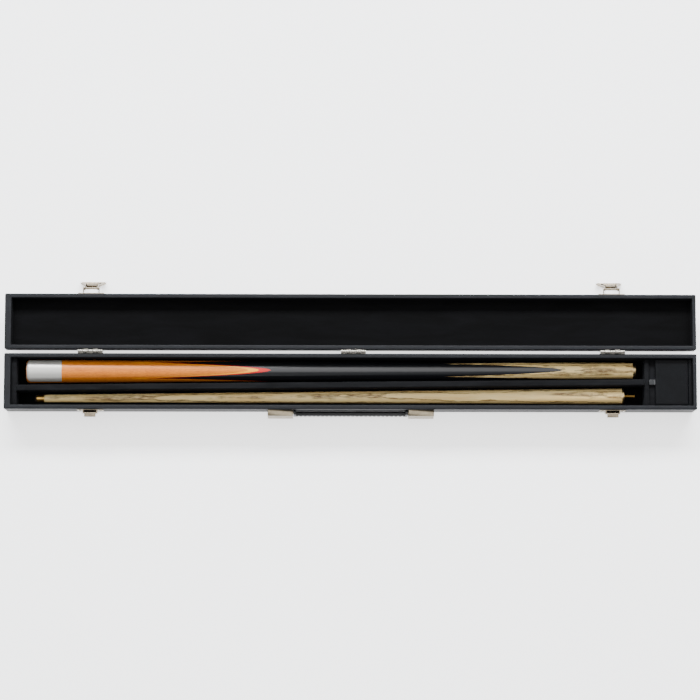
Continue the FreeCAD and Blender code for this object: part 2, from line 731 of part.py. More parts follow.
def rounded_end(solid, radius):
    """Round the edge of a solid of revolution at its z = 0 end."""
    doc.recompute()
    obj = doc.addObject("Part::Fillet", "Round")
    obj.Base = solid
    rims = []
    for number, edge in enumerate(solid.Shape.Edges, start=1):
        if abs(edge.BoundBox.ZMax) < 1e-6 and edge.Curve.TypeId == "Part::GeomCircle":
            rims.append(number)
    obj.Edges = [(rim, value(radius), value(radius)) for rim in rims]
    return obj


def lying(start, end):
    """Placement of a cue part whose local +Z runs from start to end and whose local +X is up."""
    along = end - start
    return Placement(start, Rotation(Z_AXIS, Vector(), along, "ZXY"))


def butt_radius_at(distance):
    return f"butt_radius - (butt_radius - joint_radius) * ({distance}) / butt_length"


def build_butt():
    """Four-point spliced butt: square tapers of black wood, two veneers and ash in a round blank."""
    wood_end = "butt_length - ring_length"

    def blank():
        solid = quartered_cone(0, wood_end, "butt_radius", butt_radius_at(wood_end))
        return rounded_end(solid, "butt_round")

    def core(extra):
        """Square core from core_start to past the red tip, thickened all round by extra."""
        tip_half = f"{butt_radius_at('red_tip')} + {extra}"
        start_half = f"{tip_half} - core_slope * (red_tip - core_start)"
        end_half = f"{tip_half} + core_slope * tip_overrun"
        return square_taper("core_start", "red_tip + tip_overrun", start_half, end_half)

    def ash_solid():
        tip_half = butt_radius_at("ash_tip")
        start_half = f"{tip_half} - ash_slope * (ash_tip - ash_start)"
        end_half = f"{tip_half} + ash_slope * tip_overrun"
        wide = beyond("ash_tip + tip_overrun", "butt_length")
        return fuse(square_taper("ash_start", "ash_tip + tip_overrun", start_half, end_half), wide)

    def beyond(z0, z1):
        return box("-blank_reach", "blank_reach", "-blank_reach", "blank_reach", z0, z1)

    thick = "veneer_thick"
    orange = cut(common(blank(), beyond(-1, "red_tip")), core(f"2 * {thick}"))
    yellow = cut(common(blank(), core(f"2 * {thick}")), core(thick))
    red = cut(common(blank(), core(thick)), core(0))
    past_core = beyond("red_tip + tip_overrun", "ash_tip + tip_overrun / 2")
    black = cut(common(blank(), fuse(core(0), past_core)), ash_solid())
    socket = "screw_radius + running_gap"
    ash = cut(common(blank(), ash_solid()), rod_z("butt_length - socket_depth", "butt_length", socket))
    ring = cut(rod_z(wood_end, "butt_length", "ring_radius"), rod_z(wood_end, "butt_length", socket))
    sleeve_end = f"{butt_radius_at(wood_end)} + badge_thick"
    sleeve = rounded_end(cone(0, wood_end, "butt_radius + badge_thick", sleeve_end), "butt_round")
    badge_half = "badge_half_width"
    badge_window = box(0, "blank_reach", f"-{badge_half}", badge_half, "badge_start", "badge_length")
    badge = cut(common(sleeve, badge_window), blank())
    floor = f"{FLOOR} + cue_rest_gap"
    start = Vector(value("butt_end_x"), value("butt_left_y"), value(f"{floor} + butt_radius"))
    end = Vector(value("butt_end_x + butt_length"), value("butt_right_y"), value(f"{floor} + joint_radius"))
    pieces = {
        "butt_splice": orange,
        "butt_veneer_yellow": yellow,
        "butt_veneer_red": red,
        "butt_handle": black,
        "butt_forearm": ash,
        "butt_joint_ring": ring,
        "butt_badge": badge,
    }
    for label, piece in pieces.items():
        node(piece, label).Placement = lying(start, end)


def build_shaft():
    """Tapered ash shaft with leather tip, brass ferrule, joint collar and joint screw."""
    wood_start = "tip_length + ferrule_length"
    wood_end = "shaft_length - collar_length"
    tip = rounded_end(cone(0, "tip_length", "tip_radius", "tip_radius"), "tip_round")
    ferrule = rod_z("tip_length", wood_start, "tip_radius")
    ash = cone(wood_start, wood_end, "tip_radius", "joint_radius - shaft_recess")
    collar = rod_z(wood_end, "shaft_length", "joint_radius")
    screw = rounded_end(rod_z(0, "screw_length", "screw_radius"), "screw_round")
    floor = f"{FLOOR} + cue_rest_gap"
    start = Vector(value("shaft_tip_x"), value("shaft_left_y"), value(f"{floor} + tip_radius"))
    end_x = value("shaft_tip_x + shaft_length")
    end = Vector(end_x, value("shaft_right_y"), value(f"{floor} + joint_radius"))
    pieces = {"shaft_tip": tip, "shaft_ferrule": ferrule, "shaft_wood": ash, "shaft_collar": collar}
    for label, piece in pieces.items():
        node(group(piece), label).Placement = lying(start, end)
    screw_tip = end + (end - start).normalize() * value("screw_length")
    node(screw, "shaft_screw").Placement = lying(screw_tip, end)


def check_and_write():
    doc.recompute()
    for obj in doc.Objects:
        if "Invalid" in obj.State or "Error" in obj.State:
            raise RuntimeError(f"{obj.Name} ({obj.Label}) is {obj.State}")
    os.makedirs("parts", exist_ok=True)
    for obj in nodes:
        shape = obj.Shape
        if shape.isNull() or not shape.isValid() or not shape.Solids:
            raise RuntimeError(f"{obj.Label} has no valid solid")
        shape.exportStep(f"parts/{obj.Label}.step")
    print(len(nodes), "nodes written")


build_boards()
lining("base", INNER_FRONT, INNER_BACK, "panel")
lining("lid", LID_INNER_NEAR, LID_INNER_FAR, f"{LID_BOTTOM} + panel")
build_channels()
build_compartment()
build_hinges()
build_rivets()
build_latches()
handle_bracket("left", -1)
handle_bracket("right", 1)
build_handle()
build_butt()
build_shaft()
check_and_write()
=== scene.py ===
import math

import bmesh
import bpy
from mathutils import Matrix, Vector, noise


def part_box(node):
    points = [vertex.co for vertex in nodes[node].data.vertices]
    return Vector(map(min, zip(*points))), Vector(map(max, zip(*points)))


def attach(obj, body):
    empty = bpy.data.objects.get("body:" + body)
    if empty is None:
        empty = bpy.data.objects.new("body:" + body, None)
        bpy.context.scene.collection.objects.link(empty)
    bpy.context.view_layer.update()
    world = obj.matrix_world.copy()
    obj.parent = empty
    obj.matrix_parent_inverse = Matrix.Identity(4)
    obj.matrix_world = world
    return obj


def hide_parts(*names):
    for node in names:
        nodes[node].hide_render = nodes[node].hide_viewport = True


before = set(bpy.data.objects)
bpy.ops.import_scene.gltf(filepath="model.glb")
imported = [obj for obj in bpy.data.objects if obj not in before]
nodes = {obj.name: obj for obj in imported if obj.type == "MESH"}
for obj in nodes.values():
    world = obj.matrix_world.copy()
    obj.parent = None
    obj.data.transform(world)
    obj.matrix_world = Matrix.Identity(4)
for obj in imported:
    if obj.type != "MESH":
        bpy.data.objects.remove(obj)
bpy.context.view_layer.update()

MM = 0.001


# ---------------------------------------------------------------- materials
class Shader:
    """A principled material and short calls for the nodes that feed it. Coordinates are in millimetres."""

    def __init__(self, name):
        self.mat = bpy.data.materials.new(name)
        self.mat.use_nodes = True
        self.tree = self.mat.node_tree
        self.bsdf = self.tree.nodes["Principled BSDF"]
        coords = self.tree.nodes.new("ShaderNodeTexCoord")
        self.object = self.vector("SCALE", coords.outputs["Object"], scale=1 / MM)
        self.normal_in = None

    def link(self, value, socket):
        if isinstance(value, bpy.types.NodeSocket):
            self.tree.links.new(value, socket)
        else:
            socket.default_value = value

    def vector(self, operation, a, b=None, scale=None):
        node = self.tree.nodes.new("ShaderNodeVectorMath")
        node.operation = operation
        self.link(a, node.inputs[0])
        if b is not None:
            self.link(b, node.inputs[1])
        if scale is not None:
            node.inputs["Scale"].default_value = scale
        return node.outputs["Vector"]

    def stretched(self, x, y, z):
        return self.vector("MULTIPLY", self.object, (x, y, z))

    def math(self, operation, a, b):
        node = self.tree.nodes.new("ShaderNodeMath")
        node.operation = operation
        self.link(a, node.inputs[0])
        self.link(b, node.inputs[1])
        return node.outputs[0]

    def noise(self, vector, scale, detail=3.0, rough=0.5, distortion=0.0, colour=False):
        node = self.tree.nodes.new("ShaderNodeTexNoise")
        self.link(vector, node.inputs["Vector"])
        node.inputs["Scale"].default_value = scale
        node.inputs["Detail"].default_value = detail
        node.inputs["Roughness"].default_value = rough
        node.inputs["Distortion"].default_value = distortion
        return node.outputs["Color" if colour else "Fac"]

    def cell_edges(self, vector, scale):
        node = self.tree.nodes.new("ShaderNodeTexVoronoi")
        node.feature = "DISTANCE_TO_EDGE"
        self.link(vector, node.inputs["Vector"])
        node.inputs["Scale"].default_value = scale
        return node.outputs["Distance"]

    def bands(self, vector, scale, distortion, detail, axis, profile="SIN"):
        node = self.tree.nodes.new("ShaderNodeTexWave")
        node.wave_type = "BANDS"
        node.bands_direction = axis
        node.wave_profile = profile
        self.link(vector, node.inputs["Vector"])
        node.inputs["Scale"].default_value = scale
        node.inputs["Distortion"].default_value = distortion
        node.inputs["Detail"].default_value = detail
        return node.outputs["Fac"]

    def ramp(self, fac, *stops):
        """Turns a value into a grey through (position, level) stops."""
        node = self.tree.nodes.new("ShaderNodeValToRGB")
        self.link(fac, node.inputs["Fac"])
        elements = node.color_ramp.elements
        while len(elements) < len(stops):
            elements.new(0.5)
        for element, (position, level) in zip(elements, stops):
            element.position = position
            element.color = (level, level, level, 1.0)
        return node.outputs["Color"]

    def mix(self, fac, a, b):
        node = self.tree.nodes.new("ShaderNodeMix")
        node.data_type = "RGBA"
        self.link(fac, node.inputs["Factor"])
        for value, socket in ((a, node.inputs["A"]), (b, node.inputs["B"])):
            self.link((*value, 1.0) if isinstance(value, tuple) else value, socket)
        return node.outputs["Result"]

    def bump(self, height, distance):
        """Stacks another bump, its height in the range 0 to 1 and its depth in millimetres."""
        node = self.tree.nodes.new("ShaderNodeBump")
        self.link(height, node.inputs["Height"])
        node.inputs["Distance"].default_value = distance * MM
        node.inputs["Strength"].default_value = 1.0
        if self.normal_in is not None:
            self.tree.links.new(self.normal_in, node.inputs["Normal"])
        self.normal_in = node.outputs["Normal"]
        self.tree.links.new(self.normal_in, self.bsdf.inputs["Normal"])

    def set(self, **sockets):
        for name, value in sockets.items():
            value = (*value, 1.0) if isinstance(value, tuple) and len(value) == 3 else value
            self.link(value, self.bsdf.inputs[name.replace("_", " ")])


def leatherette(name, dark, light, cell=0.62, depth=0.09, rough=(0.42, 0.6), level=0.22):
    """Grained synthetic leather: pebbles split by fine creases darkened with painted shade, cloudy colour and
    paler rubbed patches.
    """
    s = Shader(name)
    wander = s.noise(s.object, 0.35, detail=2.0, colour=True)
    moved = s.vector("ADD", s.object, s.vector("SCALE", wander, scale=1.6))
    crease = s.cell_edges(moved, cell)
    pebble = s.ramp(crease, (0.0, 0.0), (0.16, 0.85), (0.5, 1.0))
    pores = s.noise(s.object, 5.5, detail=2.0, rough=0.6)
    cloud = s.noise(s.object, 0.028, detail=4.0, rough=0.6)
    patches = s.noise(s.stretched(0.25, 1, 1), 0.16, detail=5.0, rough=0.7)
    rub = s.ramp(patches, (0.56, 0.0), (0.78, 1.0))
    rubbed_colour = tuple(min(1.0, c * 1.9) for c in light)
    crease_shade_colour = tuple(c * 0.35 for c in dark)
    base = s.mix(s.ramp(cloud, (0.3, 0.0), (0.7, 1.0)), dark, light)
    base = s.mix(s.math("MULTIPLY", rub, 0.35), base, rubbed_colour)
    # Painted shade: the creases between the pebbles are darkened towards a deeper copy of the dark colour.
    base = s.mix(s.ramp(pebble, (0.0, 0.55), (0.8, 0.0)), base, crease_shade_colour)
    s.set(Base_Color=base, Roughness=s.ramp(pores, (0.3, rough[0]), (0.7, rough[1])))
    s.set(Specular_IOR_Level=level)
    s.bump(pebble, depth)
    s.bump(pores, depth * 0.35)
    return s.mat


def pile(name, dark, light, sheen, fibre=2.4, depth=0.16):
    """Velour or felt: a fine pile brushed one way in soft patches, a little lint and a faint sheen."""
    s = Shader(name)
    fuzz = s.noise(s.stretched(1, 1.5, 1.5), fibre, detail=4.0, rough=0.75)
    specks = s.noise(s.object, fibre * 2.3, detail=2.0, rough=0.8)
    brushed = s.noise(s.stretched(0.2, 1, 1), 0.07, detail=4.0, rough=0.6, distortion=0.6)
    nap = s.ramp(brushed, (0.35, 0.0), (0.65, 1.0))
    both = s.math("ADD", s.math("MULTIPLY", fuzz, 0.6), s.math("MULTIPLY", nap, 0.4))
    base = s.mix(s.ramp(both, (0.3, 0.0), (0.72, 1.0)), dark, light)
    lint = s.ramp(s.noise(s.object, 0.9, detail=6.0, rough=0.85), (0.69, 0.0), (0.76, 1.0))
    lint_colour = tuple(min(1.0, c * 3.5 + 0.004) for c in light)
    base = s.mix(s.math("MULTIPLY", lint, 0.5), base, lint_colour)
    s.set(Base_Color=base, Roughness=0.95, Specular_IOR_Level=0.12)
    s.set(Sheen_Weight=sheen, Sheen_Roughness=0.5, Sheen_Tint=(0.55, 0.6, 0.7))
    s.bump(fuzz, depth)
    s.bump(specks, depth * 0.5)
    return s.mat


def metal(name, light, dark, rough=(0.16, 0.34), brush=(0.15, 1, 1)):
    """Plated or brushed metal: drawn lines, cloudy tarnish and darker grime."""
    s = Shader(name)
    lines = s.noise(s.stretched(*brush), 6.0, detail=4.0, rough=0.7)
    clouds = s.noise(s.object, 0.22, detail=5.0, rough=0.65, distortion=0.4)
    tarnish = s.ramp(clouds, (0.35, 0.0), (0.75, 1.0))
    grime = s.ramp(s.noise(s.object, 1.3, detail=4.0, rough=0.7), (0.58, 0.0), (0.8, 1.0))
    base = s.mix(tarnish, light, tuple((a + b) / 2 for a, b in zip(light, dark)))
    base = s.mix(s.math("MULTIPLY", grime, 0.45), base, dark)
    mixed = s.math("ADD", s.math("MULTIPLY", lines, 0.6), s.math("MULTIPLY", tarnish, 0.4))
    s.set(Base_Color=base, Metallic=1.0, Roughness=s.ramp(mixed, (0.25, rough[0]), (0.75, rough[1])))
    s.bump(lines, 0.02)
    return s.mat


def ash(name):
    """Flat-sawn ash: pale wood, open-pored brown growth lines that run to arrow shapes, under lacquer."""
    s = Shader(name)
    drift = s.noise(s.stretched(0.012, 0.14, 0.14), 1.0, detail=3.0, rough=0.55, colour=True)
    moved = s.vector("ADD", s.object, s.vector("MULTIPLY", drift, (0.0, 3.0, 9.0)))
    rings = s.bands(moved, 0.075, distortion=2.2, detail=3.0, axis="Z", profile="SAW")
    pores = s.noise(s.stretched(0.045, 1.3, 1.3), 1.7, detail=5.0, rough=0.75)
    fine = s.noise(s.stretched(0.02, 1, 1), 3.2, detail=3.0, rough=0.6)
    broad = s.noise(s.stretched(0.01, 0.12, 0.12), 1.0, detail=2.0)
    pale = s.mix(s.ramp(fine, (0.3, 0.0), (0.7, 1.0)), (1.0, 0.84, 0.44), (0.97, 0.69, 0.27))
    pale = s.mix(s.ramp(broad, (0.35, 0.0), (0.7, 0.5)), pale, (0.86, 0.52, 0.16))
    edge = s.ramp(rings, (0.0, 0.0), (0.5, 0.06), (0.82, 1.0), (1.0, 0.35))
    broken = s.math("MULTIPLY", edge, s.ramp(pores, (0.38, 0.12), (0.54, 1.0)))
    base = s.mix(broken, pale, (0.085, 0.032, 0.008))
    flecks = s.ramp(pores, (0.62, 0.0), (0.74, 1.0))
    base = s.mix(s.math("MULTIPLY", flecks, 0.3), base, (0.34, 0.18, 0.07))
    s.set(Base_Color=base, Roughness=s.ramp(fine, (0.3, 0.34), (0.7, 0.46)))
    s.set(Coat_Weight=0.12, Coat_Roughness=0.25, Specular_IOR_Level=0.25)
    s.bump(broken, 0.02)
    return s.mat


def close_grain(name, light, mid, dark, coat, gloss, figure=0.8, level=0.25):
    """Lacquered close-grained wood: short pores, long streaks and a faint ripple across them."""
    s = Shader(name)
    streak = s.noise(s.stretched(0.022, 0.8, 0.8), 0.9, detail=5.0, rough=0.65, distortion=0.5)
    pores = s.noise(s.stretched(0.09, 1.6, 1.6), 2.2, detail=4.0, rough=0.75)
    ripple = s.noise(s.stretched(0.3, 0.08, 0.08), 0.6, detail=2.0)
    base = s.mix(s.ramp(streak, (0.3, 0.0), (0.68, figure)), light, mid)
    base = s.mix(s.ramp(pores, (0.50, 0.0), (0.68, 0.85)), base, dark)
    base = s.mix(s.ramp(ripple, (0.4, 0.0), (0.75, 0.22)), base, light)
    s.set(Base_Color=base, Roughness=s.ramp(pores, (0.3, 0.34), (0.7, 0.5)))
    s.set(Coat_Weight=coat, Coat_Roughness=gloss, Specular_IOR_Level=level)
    s.bump(pores, 0.012)
    return s.mat


def moulded(name, base, edge):
    """Moulded black plastic: a fine spark texture and soft wear."""
    s = Shader(name)
    spark = s.noise(s.object, 3.2, detail=3.0, rough=0.7)
    wear = s.ramp(s.noise(s.object, 0.35, detail=5.0, rough=0.7), (0.52, 0.0), (0.78, 0.8))
    s.set(Base_Color=s.mix(wear, base, edge), Roughness=s.ramp(spark, (0.3, 0.32), (0.7, 0.5)))
    s.bump(spark, 0.04)
    return s.mat


def ribbon(name, dark, light):
    """Grosgrain ribbon: close ribs across it and finer threads along it."""
    s = Shader(name)
    ribs = s.bands(s.object, 2.6, distortion=0.2, detail=1.0, axis="X")
    threads = s.bands(s.object, 1.7, distortion=0.4, detail=1.0, axis="Y")
    weave = s.math("ADD", s.math("MULTIPLY", ribs, 0.7), s.math("MULTIPLY", threads, 0.3))
    fluff = s.noise(s.object, 2.0, detail=4.0, rough=0.7)
    base = s.mix(s.math("MULTIPLY", weave, fluff), dark, light)
    s.set(Base_Color=base, Roughness=0.7, Sheen_Weight=0.25, Sheen_Roughness=0.5)
    s.bump(weave, 0.12)
    return s.mat


def plate_white(name):
    """Pale satin metal plate: faint speckle, fine brushing along the cue and a few scuffs."""
    s = Shader(name)
    brush = s.noise(s.stretched(0.06, 1, 1), 5.0, detail=4.0, rough=0.7)
    speck = s.noise(s.object, 1.7, detail=5.0, rough=0.8)
    base = s.mix(s.ramp(speck, (0.4, 0.0), (0.72, 1.0)), (0.56, 0.55, 0.51), (0.38, 0.38, 0.36))
    scrapes = s.noise(s.stretched(1, 0.2, 0.2), 0.8, detail=6.0, rough=0.8)
    base = s.mix(s.ramp(scrapes, (0.62, 0.0), (0.72, 0.6)), base, (0.34, 0.34, 0.33))
    s.set(Base_Color=base, Metallic=0.35, Roughness=s.ramp(brush, (0.3, 0.3), (0.7, 0.5)))
    s.bump(brush, 0.015)
    return s.mat


LEATHER = leatherette("case_leatherette", (0.0046, 0.0052, 0.0068), (0.0080, 0.0090, 0.0118))
LEATHER_FLAP = leatherette("flap_leatherette", (0.0016, 0.0018, 0.0024), (0.0030, 0.0034, 0.0044),
                           cell=0.8, depth=0.07, level=0.1)
VELOUR = pile("lining_velour", (0.0006, 0.0006, 0.0007), (0.0018, 0.0018, 0.0022), sheen=0.006)
FELT = pile("divider_felt", (0.0036, 0.0036, 0.0041), (0.0075, 0.0078, 0.0088),
            sheen=0.02, fibre=1.9, depth=0.2)
NICKEL = metal("latch_nickel", (0.25, 0.21, 0.155), (0.040, 0.028, 0.018))
NICKEL_HINGE = metal("hinge_nickel", (0.34, 0.32, 0.28), (0.095, 0.080, 0.065), rough=(0.2, 0.4))
NICKEL_BRACKET = metal("bracket_nickel", (0.30, 0.255, 0.18), (0.15, 0.115, 0.075),
                       rough=(0.28, 0.46), brush=(1, 0.15, 1))
BRASS = metal("brass", (0.72, 0.44, 0.12), (0.28, 0.14, 0.035), rough=(0.3, 0.46), brush=(1, 0.2, 0.2))
PALE_BRASS = metal("joint_ring", (0.52, 0.40, 0.21), (0.26, 0.17, 0.075),
                   rough=(0.22, 0.38), brush=(1, 0.2, 0.2))
ASH = ash("ash_wood")
BLACK_WOOD = close_grain("black_wood", (0.0050, 0.0056, 0.0072), (0.0034, 0.0037, 0.0048),
                         (0.0016, 0.0017, 0.0021), coat=0.75, gloss=0.18, level=0.3)
ORANGE_WOOD = close_grain("orange_wood", (0.70, 0.215, 0.014), (0.50, 0.125, 0.008),
                          (0.13, 0.022, 0.002), coat=0.1, gloss=0.3, figure=0.9)
YELLOW = close_grain("yellow_veneer", (0.95, 0.42, 0.010), (0.80, 0.30, 0.008),
                     (0.40, 0.13, 0.005), coat=0.3, gloss=0.3)
RED = close_grain("red_veneer", (0.62, 0.012, 0.010), (0.44, 0.008, 0.006),
                  (0.16, 0.004, 0.003), coat=0.3, gloss=0.3)
GRIP = moulded("grip_plastic", (0.0075, 0.0078, 0.0088), (0.020, 0.021, 0.023))
RIBBON = ribbon("tab_ribbon", (0.006, 0.0065, 0.0075), (0.020, 0.021, 0.024))
BADGE = plate_white("badge_metal")
TIP = leatherette("tip_leather", (0.020, 0.013, 0.010), (0.040, 0.026, 0.020),
                  cell=2.4, depth=0.05, rough=(0.6, 0.85))


# ---------------------------------------------------------------- mesh helpers
def mesh_piece(name, vertices, faces, material, body, replaces):
    """Makes a mesh object from points in millimetres and rides it on a body."""
    merge_distance = 0.004 * MM
    mesh = bpy.data.meshes.new(name)
    mesh.from_pydata([Vector(v) * MM for v in vertices], [], faces)
    bm = bmesh.new()
    bm.from_mesh(mesh)
    bmesh.ops.remove_doubles(bm, verts=bm.verts, dist=merge_distance)
    bmesh.ops.dissolve_degenerate(bm, edges=bm.edges, dist=merge_distance)
    bmesh.ops.recalc_face_normals(bm, faces=bm.faces)
    bm.to_mesh(mesh)
    bm.free()
    for polygon in mesh.polygons:
        polygon.use_smooth = True
    mesh.materials.append(material)
    piece = bpy.data.objects.new(name, mesh)
    bpy.context.scene.collection.objects.link(piece)
    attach(piece, body)
    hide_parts(*replaces)
    return piece


def sharpen(piece, angle):
    """Splits shading at edges sharper than the angle, in degrees."""
    bm = bmesh.new()
    bm.from_mesh(piece.data)
    for edge in bm.edges:
        if len(edge.link_faces) == 2 and edge.calc_face_angle(0.0) > math.radians(angle):
            edge.smooth = False
    bm.to_mesh(piece.data)
    bm.free()


def mm_box(*names):
    """The joint box of some CAD nodes, in millimetres."""
    lows, highs = zip(*(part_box(name) for name in names))
    low = Vector([min(corner[axis] for corner in lows) for axis in range(3)])
    high = Vector([max(corner[axis] for corner in highs) for axis in range(3)])
    return low / MM, high / MM


def arc(cx, cz, radius, start, end, steps):
    """Points of an arc, angles in degrees from the first axis towards the second."""
    angles = [math.radians(start + (end - start) * i / steps) for i in range(steps + 1)]
    return [(cx + radius * math.cos(a), cz + radius * math.sin(a)) for a in angles]


def round_rect(x0, x1, y0, y1, radius, z):
    """A loop round a rectangle with rounded corners, from its low corner and anticlockwise."""
    steps = 6
    radius = max(radius, 0.01)
    loop = []
    for cx, cy, start in ((x0 + radius, y0 + radius, 180), (x1 - radius, y0 + radius, 270),
                          (x1 - radius, y1 - radius, 0), (x0 + radius, y1 - radius, 90)):
        loop += [(x, y, z) for x, y in arc(cx, cy, radius, start, start + 90, steps)]
    return loop


def skin(loops, closed_ends=(True, True)):
    """Vertices and faces of a surface through loops of equal length."""
    count = len(loops[0])
    last = (len(loops) - 1) * count
    vertices = [p for loop in loops for p in loop]
    faces = []
    for first in range(0, last, count):
        for j in range(count):
            k = (j + 1) % count
            faces.append((first + j, first + k, first + count + k, first + count + j))
    if closed_ends[0]:
        faces.append(tuple(reversed(range(count))))
    if closed_ends[1]:
        faces.append(tuple(range(last, last + count)))
    return vertices, faces


def grid_faces(start, columns, rows):
    """Quads over a grid of points that are numbered row by row from start."""
    row = columns + 1
    faces = []
    for j in range(rows):
        for i in range(columns):
            low = start + j * row + i
            faces.append((low, low + 1, low + row + 1, low + row))
    return faces


# ---------------------------------------------------------------- case shells
def shell_cover(name, prefix, panel, body):
    """One leatherette skin over a shell's boards: rounded outside, crowned rim, and walls turned in."""
    boards = [f"{prefix}_{side}_board" for side in ("front", "back", "left_end", "right_end")]
    low, high = mm_box(*boards, panel)
    front, back, left, right = [mm_box(board) for board in boards]
    y_walls = sorted((front, back), key=lambda b: b[0].y)
    x0, x1, y0, y1 = left[1].x, right[0].x, y_walls[0][1].y, y_walls[1][0].y
    floor_z = mm_box(panel)[1].z
    edge, inner_edge = 1.1, 0.7
    outer_corner, inner_corner = 1.5, 0.5

    def outside(inset, z):
        return round_rect(low.x + inset, high.x - inset, low.y + inset, high.y - inset,
                          outer_corner - inset, z)

    def inside(inset, z):
        return round_rect(x0 - inset, x1 + inset, y0 - inset, y1 + inset, inner_corner + inset, z)

    loops = [outside(edge, low.z)]
    loops += [outside(edge - x, low.z + edge + z) for x, z in arc(0, 0, edge, 270, 360, 5)]
    loops += [outside(edge - x, high.z - edge + z) for x, z in arc(0, 0, edge, 0, 90, 5)]
    loops += [inside(inner_edge - x, high.z - inner_edge + z)
              for x, z in reversed(arc(0, 0, inner_edge, 0, 90, 4))]
    loops += [inside(0, floor_z)]
    vertices, faces = skin(loops)
    piece = mesh_piece(name, vertices, faces, LEATHER, body, boards + [panel])
    sharpen(piece, 50)


def lining(name, prefix, body):
    """Velour tub inside a shell: a folded top edge, walls, a soft cove and a slightly uneven floor."""
    walls, floor = f"{prefix}_wall_lining", f"{prefix}_floor_lining"
    low, high = mm_box(walls, floor)
    floor_z = mm_box(floor)[1].z
    wall_gap, thick, cove = 0.02, 0.6, 1.6
    columns, rows = 150, 14
    swell = 0.28
    fold = [(wall_gap, 0.2), (0.12, 0.05), (0.3, 0.0), (0.48, 0.05), (thick, 0.3)]
    profile = [(wall_gap, floor_z)]
    profile += [(inset, high.z - drop) for inset, drop in fold]
    profile += [(thick, floor_z + 12), (thick, floor_z + 6)]
    profile += [(thick + cove + x, floor_z + cove + z) for x, z in arc(0, 0, cove, 180, 270, 6)]
    loops = []
    for inset, z in profile:
        x0, x1, y0, y1 = low.x + inset, high.x - inset, low.y + inset, high.y - inset
        loop = [(x0 + (x1 - x0) * i / columns, y0, z) for i in range(columns)]
        loop += [(x1, y0 + (y1 - y0) * i / rows, z) for i in range(rows)]
        loop += [(x1 - (x1 - x0) * i / columns, y1, z) for i in range(columns)]
        loop += [(x0, y1 - (y1 - y0) * i / rows, z) for i in range(rows)]
        loops.append(loop)
    vertices, faces = skin(loops, (False, False))
    # The floor fills the last loop, at the foot of the cove.
    start = len(vertices)
    for j in range(rows + 1):
        for i in range(columns + 1):
            u, v = i / columns, j / rows
            broad = noise.noise(Vector((u * 26, v * 2.4, 3.1))) * 0.5
            fine = noise.noise(Vector((u * 70, v * 6, 8.3))) * 0.25
            fade_along, fade_across = math.sin(math.pi * u) ** 0.2, math.sin(math.pi * v) ** 0.5
            lift = swell * max(0.0, broad + fine) * fade_along * fade_across
            vertices.append((x0 + (x1 - x0) * u, y0 + (y1 - y0) * v, floor_z + lift))
    faces += grid_faces(start, columns, rows)
    mesh_piece(name, vertices, faces, VELOUR, body, (walls, floor))


def wrapped_block(name, corners, z0, z1, material, body, replaces, radius, along, wave=0.0, seed=0.0):
    """A covered block on a four-cornered plan, its edges rounded and its faces slightly uneven.

    corners run anticlockwise from the low corner. along is the number of divisions from left to right.
    """
    a, b, c, d = [Vector((x, y, 0)) for x, y in corners]
    ux, uy = (b - a).normalized(), (d - a).normalized()
    edge_steps = 4
    spacing = 3
    profile = [(radius - x, z0 + radius + z) for x, z in arc(0, 0, radius, 270, 360, edge_steps)]
    profile += [(radius - x, z1 - radius + z) for x, z in arc(0, 0, radius, 0, 90, edge_steps)]
    cross = max(2, int((d - a).length / spacing))
    loops = []
    for inset, z in profile:
        pa = a + ux * inset + uy * inset
        pb = b - ux * inset + uy * inset
        pc = c - ux * inset - uy * inset
        pd = d + ux * inset - uy * inset
        loop = []
        for p, q, count in ((pa, pb, along), (pb, pc, cross), (pc, pd, along), (pd, pa, cross)):
            loop += [tuple(p.lerp(q, i / count))[:2] + (z,) for i in range(count)]
        loops.append(loop)
    vertices, faces = skin(loops, (True, False))
    # The top fills the last loop.
    start = len(vertices)
    top_z = profile[-1][1]
    for j in range(cross + 1):
        for i in range(along + 1):
            u, v = i / along, j / cross
            p = pa.lerp(pb, u).lerp(pd.lerp(pc, u), v)
            vertices.append((p.x, p.y, top_z))
    faces += grid_faces(start, along, cross)
    if wave:
        long_scale, short_scale, height_share = 0.045, 0.11, 0.7
        moved = []
        for x, y, z in vertices:
            n = noise.noise_vector(Vector((x * long_scale, y * short_scale, z * short_scale + seed)))
            moved.append((x, y + n.y * wave, min(z + n.z * wave * height_share, z1)))
        vertices = moved
    piece = mesh_piece(name, vertices, faces, material, body, replaces)
    sharpen(piece, 60)


def plain_corners(low, high):
    return [(low.x, low.y), (high.x, low.y), (high.x, high.y), (low.x, high.y)]


def compartment():
    thin_wall = 8
    for node in ("left_end_block", "compartment_wall", "compartment_left_ledge", "compartment_right_ledge"):
        low, high = mm_box(node)
        divisions = 3 if high.x - low.x < thin_wall else 5
        wrapped_block(f"{node}_felt", plain_corners(low, high), low.z, high.z, FELT, "base",
                      (node,), radius=0.8, along=divisions, wave=0.1, seed=low.x)
    low, high = mm_box("channel_divider")
    divider_thick = 7.0
    corners = [(low.x, low.y), (high.x, high.y - divider_thick),
               (high.x, high.y), (low.x, low.y + divider_thick)]
    wrapped_block("channel_divider_felt", corners, low.z, high.z, FELT, "base",
                  ("channel_divider",), radius=0.9, along=150, wave=0.16, seed=4.0)
    low, high = mm_box("flap_fixed_strip")
    wrapped_block("flap_fixed_strip_cover", plain_corners(low, high), low.z, high.z, LEATHER_FLAP, "base",
                  ("flap_fixed_strip",), radius=0.7, along=2)
    low, high = mm_box("compartment_flap")
    wrapped_block("compartment_flap_cover", plain_corners(low, high), low.z, high.z, LEATHER_FLAP,
                  "compartment_flap", ("compartment_flap",),
                  radius=0.9, along=14, wave=0.12, seed=9.0)


